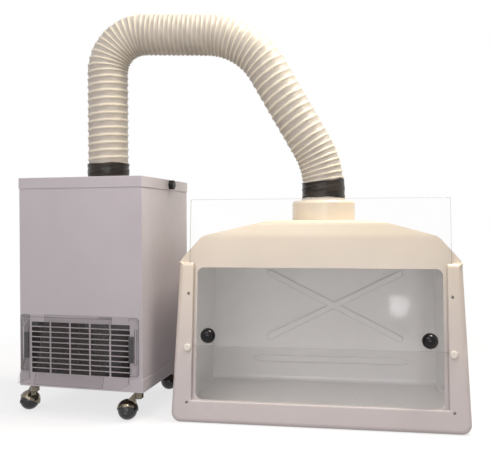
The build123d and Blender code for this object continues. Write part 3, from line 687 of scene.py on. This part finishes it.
def makeDuct():
    places = ductCentreline()
    length, read = alongPath(places)
    stations = [0.0]
    while stations[-1] < length - 0.0006:
        stations.append(min(length, stations[-1] + pitchAt(stations[-1]) / duct["ringsPerRib"]))
    print("duct length", round(length, 4), "rings", len(stations))
    bm = bmesh.new()
    ribLayer = bm.verts.layers.float.new("rib")
    made = bmesh.ops.create_circle(bm, cap_ends=False, segments=duct["sides"], radius=1.0)
    loop = list(made["verts"])
    loop.sort(key=lambda v: math.atan2(v.co.y, v.co.x))
    around = [math.atan2(v.co.y, v.co.x) for v in loop]
    edges = list(bm.edges)
    phase = 0.0
    for i, station in enumerate(stations):
        if i:
            phase += (station - stations[i - 1]) / pitchAt(station)
            grown = bmesh.ops.extrude_edge_only(bm, edges=edges)
            loopNew = [v for v in grown["geom"] if isinstance(v, bmesh.types.BMVert)]
            edges = [e for e in grown["geom"] if isinstance(e, bmesh.types.BMEdge)]
            nearest = {}
            for v in loopNew:
                for e in v.link_edges:
                    other = e.other_vert(v)
                    if other in order:
                        nearest[order[other]] = v
            loop = [nearest[k] for k in range(len(loop))]
        order = {v: k for k, v in enumerate(loop)}
        here, across, upward = ductFrame(read, station)
        fromEnd = min(station, length - station)
        fade = min(1.0, fromEnd / duct["settle"])
        free = min(1.0, max(0.0, (fromEnd - duct["cuff"][0]) / duct["cuff"][1]))
        crest = duct["bound"] + (duct["crest"] - duct["bound"]) * free
        wobble = 1 + duct["wobble"][0] * math.sin(station * duct["wobble"][1]) * fade
        puckerDepth, puckerCount, puckerWaves = duct["pucker"]
        for k, v in enumerate(loop):
            angle = around[k]
            bead, rise = ribHeight(phase + angle / (2 * math.pi))
            pucker = puckerDepth * math.sin(angle * puckerCount + station * puckerWaves) * (1 - bead) * fade
            radius = duct["valley"] + (crest - duct["valley"]) * rise * wobble + pucker
            v.co = here + across * math.cos(angle) * radius + upward * math.sin(angle) * radius
            # painted highlight on the beads, faded along the top of the hose
            v[ribLayer] = bead * beadShows(station)
    bmesh.ops.recalc_face_normals(bm, faces=bm.faces)
    # the outside is found at the middle of the hose, from the face nearest to it
    middle = read(length / 2)
    probe = min(bm.faces, key=lambda f: (f.calc_center_median() - middle).length)
    probed = probe.calc_center_median()
    nearestPlace = min((read(length * k / 200) for k in range(201)), key=lambda p: (p - probed).length)
    if probe.normal.dot(probed - nearestPlace) < 0:
        bmesh.ops.reverse_faces(bm, faces=bm.faces)
    mesh = bpy.data.meshes.new("ductHose")
    bm.to_mesh(mesh)
    bm.free()
    piece = linkPiece("duct_hose", mesh, ["ductHose"])
    thicken(piece, duct["wall"])
    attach(piece, "frame")
    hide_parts(*duct["nodes"])
    return read, length


readDuct, ductLength = makeDuct()
print("duct made")

# tape: two overlapping turns round each end of the duct

tape = {
    "cabinet": {"node": "duct_tape_cabinet", "from": 0.0, "to": 0.048, "seed": 0.4},
    "hood": {"node": "duct_tape_hood", "from": -0.048, "to": 0.0, "seed": 2.1},
    "under": 0.0571,
    "over": 0.0589,
    "thickness": 0.0008,
    "rings": 26,
    "sides": 84,
    # pull-back of the cut edges and its two waves, which fade out over one such part of the band
    "ragged": (0.0016, 0.0014, 0.0009),
    "raggedParts": 6,
    # where the two turns begin, how far that wanders, and how steep their steps are
    "firstSeam": (0.52, 0.05, 26),
    "secondSeam": (0.18, 0.06, 30),
    # height of the first turn, and what the steps leave free for creases and ribs
    "slack": (0.0004, 0.0012),
    "creases": (0.00026, 0.00014),
    # ribs of the hose that show through: height, count along the band and twist round it
    "ribUnder": (0.0006, 2.1, 0.25),
}


def tapeStation(share, angle, seed, start, end):
    pull, slow, quick = tape["ragged"]
    ragged = pull + slow * math.sin(angle * 2 + seed) + quick * math.sin(angle * 5 + seed * 3)
    nearStart = 1 - min(1.0, share * tape["raggedParts"])
    nearEnd = 1 - min(1.0, (1 - share) * tape["raggedParts"])
    station = start + (end - start) * share + ragged * nearStart - ragged * nearEnd
    return min(max(station, start), end)


def tapeRadius(share, angle, seed):
    seam, wander, steep = tape["firstSeam"]
    seam += wander * math.sin(angle + seed) + 0.015 * math.sin(3 * angle)
    lap = 0.5 + 0.5 * math.tanh((share - seam) * steep)
    seam, wander, steep = tape["secondSeam"]
    seam += wander * math.sin(angle + seed + 1)
    lap2 = 0.5 + 0.5 * math.tanh((share - seam) * steep)
    crease = tape["creases"][0] * math.sin(angle * 5 + share * 26 + seed)
    crease += tape["creases"][1] * math.sin(angle * 13 - share * 20)
    height, ribs, twist = tape["ribUnder"]
    ribUnder = height * math.cos(2 * math.pi * (share * ribs + angle / (2 * math.pi) * twist))
    least, most = tape["slack"]
    thicker = (tape["over"] - tape["under"] - most) * (0.45 * lap + 0.35 * lap2)
    return min(tape["under"] + least + thicker + crease + ribUnder, tape["over"])


def makeTapeBand(name, values):
    # a band with distances below zero is measured from the far end
    origin = 0.0 if values["from"] >= 0 else ductLength
    start, end = origin + values["from"], origin + values["to"]
    bm = bmesh.new()
    bmesh.ops.create_cone(bm, cap_ends=False, segments=tape["sides"], radius1=1, radius2=1, depth=1)
    lengthEdges = [e for e in bm.edges if abs(e.verts[0].co.z - e.verts[1].co.z) > 0.5]
    bmesh.ops.subdivide_edges(bm, edges=lengthEdges, cuts=tape["rings"], use_grid_fill=True)
    seed = values["seed"]
    for v in bm.verts:
        share = v.co.z + 0.5
        angle = math.atan2(v.co.y, v.co.x)
        station = tapeStation(share, angle, seed, start, end)
        radius = tapeRadius(share, angle, seed)
        here, across, upward = ductFrame(readDuct, station)
        v.co = here + across * math.cos(angle) * radius + upward * math.sin(angle) * radius
    bmesh.ops.recalc_face_normals(bm, faces=bm.faces)
    probe = max(bm.faces, key=lambda f: f.calc_center_median().x)
    if probe.normal.x < 0:
        bmesh.ops.reverse_faces(bm, faces=bm.faces)
    mesh = bpy.data.meshes.new(name)
    bm.to_mesh(mesh)
    bm.free()
    piece = linkPiece(name, mesh, ["blackTape"])
    thicken(piece, tape["thickness"])
    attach(piece, "frame")
    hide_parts(values["node"])


makeTapeBand("tape_cabinet", tape["cabinet"])
makeTapeBand("tape_hood", tape["hood"])
print("tape made")


# clear sheets: a copy of each solid with its cut edges in a finish of their own, a painted shade that draws
# them as dark lines

clearFold = {
    # angle in radians over which an edge is rounded, and the widths of the roundings
    "sharp": 0.3,
    "rim": 0.0007,
    "fold": 0.0018,
    "weld": 1e-6,
    "flat": math.radians(0.5),
}
sashFinish = ["clearSheet", "clearEdge"]
deflectorFinish = ["deflectorSheet", "deflectorEdge"]


def clearPiece(node, name, body, finishPair, edgeBelow):
    bm = bmesh.new()
    bm.from_mesh(nodes[node].data)
    bmesh.ops.remove_doubles(bm, verts=bm.verts, dist=clearFold["weld"])
    bmesh.ops.dissolve_limit(bm, angle_limit=clearFold["flat"], verts=bm.verts, edges=bm.edges)
    # faces in one plane count together, and a plane smaller than edgeBelow is a cut edge
    planes = {}
    for face in bm.faces:
        face.normal_update()
        offset = face.normal.dot(face.verts[0].co)
        key = (*(round(part, 2) for part in face.normal), round(offset, 4))
        planes.setdefault(key, []).append(face)
    for faces in planes.values():
        area = sum(face.calc_area() for face in faces)
        for face in faces:
            face.material_index = 1 if area < edgeBelow else 0
    # rims: cut edges, flame polished; folds: heat-bent corners, both in the edge finish with its painted
    # dark line
    for kinds, width, steps in ((1, clearFold["rim"], 1), (0, clearFold["fold"], 3)):
        bent = [
            edge for edge in bm.edges
            if len(edge.link_faces) == 2
            and sum(face.material_index for face in edge.link_faces) == kinds
            and edge.calc_face_angle() > clearFold["sharp"]
        ]
        if bent:
            rounded = bmesh.ops.bevel(
                bm, geom=bent, offset=width, segments=steps,
                profile=0.5, clamp_overlap=True, affect="EDGES",
            )
            for face in rounded["faces"]:
                face.material_index = 1
    bmesh.ops.triangulate(bm, faces=[face for face in bm.faces if len(face.verts) > 4])
    mesh = bpy.data.meshes.new(name)
    bm.to_mesh(mesh)
    bm.free()
    piece = linkPiece(name, mesh, finishPair, smooth=False)
    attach(piece, body)
    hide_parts(node)


clearPiece("sash", "sash_sheet", "sash", sashFinish, 0.0045)
clearPiece("deflector_left", "deflector_sheet_left", "frame", deflectorFinish, 0.0009)
clearPiece("deflector_right", "deflector_sheet_right", "deflector", deflectorFinish, 0.0009)
print("clear sheets made")


# floor: white to the eye, with a faint shadow; plain pale paper to everything else

def makeFloor():
    bm = bmesh.new()
    bmesh.ops.create_grid(bm, x_segments=1, y_segments=1, size=room["floorSize"] / 2)
    mesh = bpy.data.meshes.new("floor")
    bm.to_mesh(mesh)
    bm.free()
    material = bpy.data.materials.new("floorPaper")
    material.use_nodes = True
    tree = material.node_tree
    tree.nodes.clear()
    out = tree.nodes.new("ShaderNodeOutputMaterial")
    paper = tree.nodes.new("ShaderNodeBsdfDiffuse")
    paper.inputs["Color"].default_value = (*room["floorColour"], 1)
    shade = tree.nodes.new("ShaderNodeBsdfDiffuse")
    shade.inputs["Color"].default_value = (*room["floorShade"], 1)
    glow = tree.nodes.new("ShaderNodeEmission")
    glow.inputs["Color"].default_value = (*room["backdrop"], 1)
    glow.inputs["Strength"].default_value = room["floorGlow"]
    near = tree.nodes.new("ShaderNodeAddShader")
    far = tree.nodes.new("ShaderNodeEmission")
    far.inputs["Color"].default_value = (*room["backdrop"], 1)
    far.inputs["Strength"].default_value = 1.0
    place = tree.nodes.new("ShaderNodeTexCoord")
    reach = tree.nodes.new("ShaderNodeVectorMath")
    reach.operation = "DISTANCE"
    reach.inputs[1].default_value = (*room["floorMiddle"], 0)
    tree.links.new(place.outputs["Object"], reach.inputs[0])
    fade = remap(tree, reach.outputs["Value"], *room["floorFade"], 0, 1)
    seen = tree.nodes.new("ShaderNodeMixShader")
    final = tree.nodes.new("ShaderNodeMixShader")
    tree.links.new(shade.outputs[0], near.inputs[0])
    tree.links.new(glow.outputs[0], near.inputs[1])
    tree.links.new(fade, seen.inputs[0])
    tree.links.new(near.outputs[0], seen.inputs[1])
    tree.links.new(far.outputs[0], seen.inputs[2])
    tree.links.new(seenByEye(tree), final.inputs[0])
    tree.links.new(paper.outputs[0], final.inputs[1])
    tree.links.new(seen.outputs[0], final.inputs[2])
    tree.links.new(final.outputs[0], out.inputs["Surface"])
    floor = bpy.data.objects.new("floor", mesh)
    floor.data.materials.append(material)
    bpy.context.scene.collection.objects.link(floor)


makeFloor()
